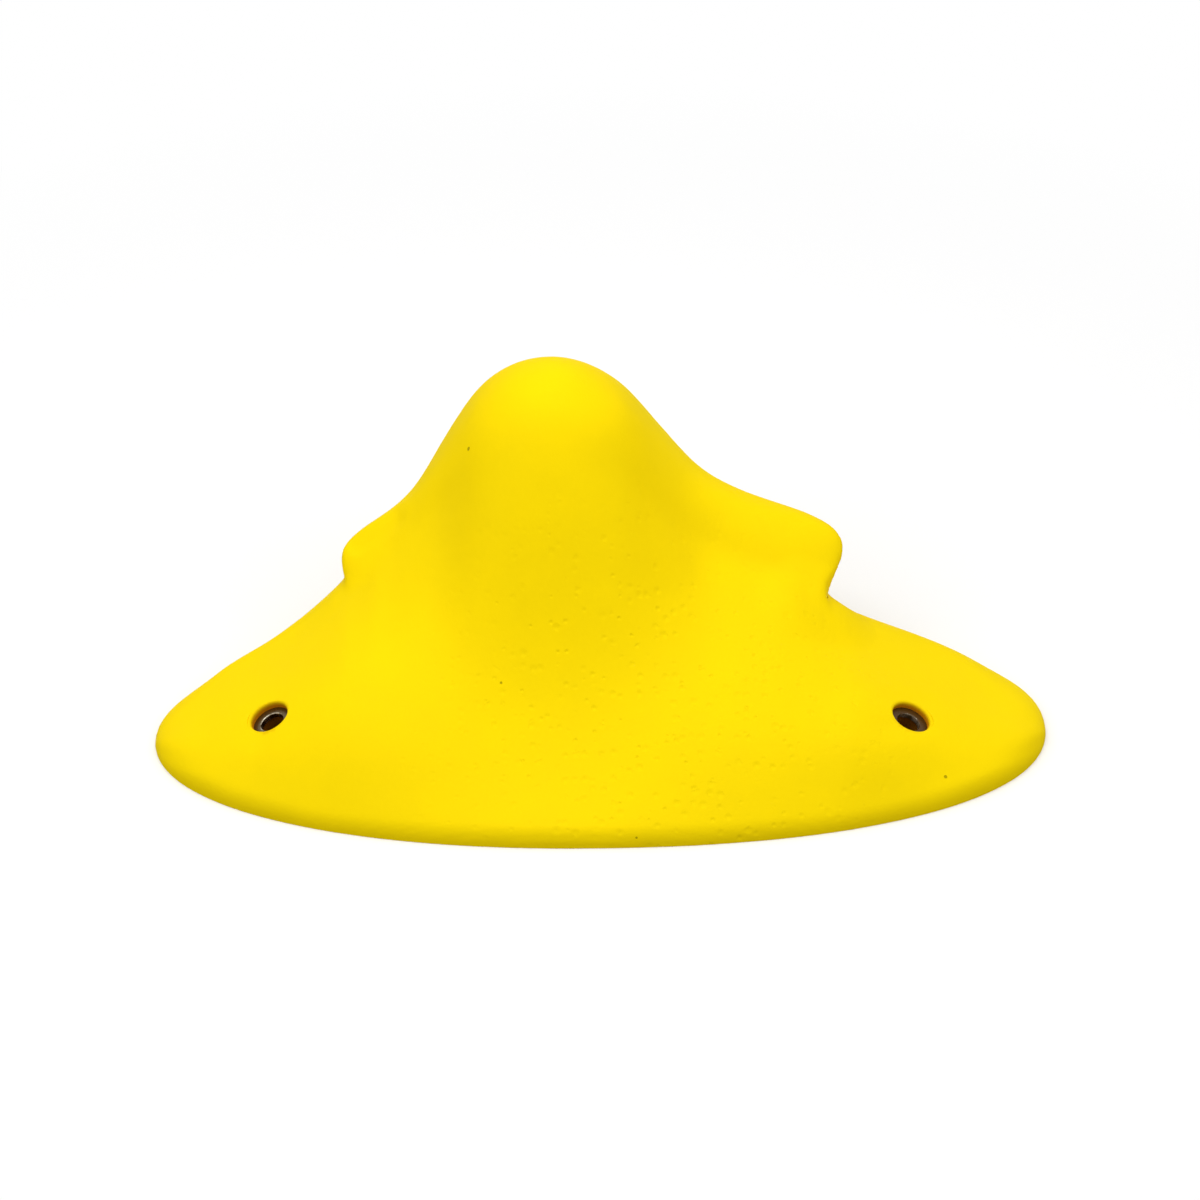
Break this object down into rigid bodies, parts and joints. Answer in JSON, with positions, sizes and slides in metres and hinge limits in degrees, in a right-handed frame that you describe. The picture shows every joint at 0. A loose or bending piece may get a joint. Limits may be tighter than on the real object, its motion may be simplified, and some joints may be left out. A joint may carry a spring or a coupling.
{
  "type": "climbing hold",
  "caption": "Screw-on climbing hold: a flared body with a central horn and side lobes over a finger scoop, a hollow flat back and washered screw holes.",
  "frame": {"origin": "bottom centre of the bounding box, on the plane of the wall", "axes": "+Z out of the wall, +Y up the wall towards the lip, +X along the width towards the right tip"},
  "size_m": [0.2398, 0.1228, 0.0856],
  "materials": {
    "cast_body": "matt cast polyurethane with a fine mould grain",
    "washer_steel": "zinc-plated steel"
  },
  "bodies": {
    "root": {"hold_body": "cast_body", "left_washer": "washer_steel", "right_washer": "washer_steel"}
  },
  "joints": []
}
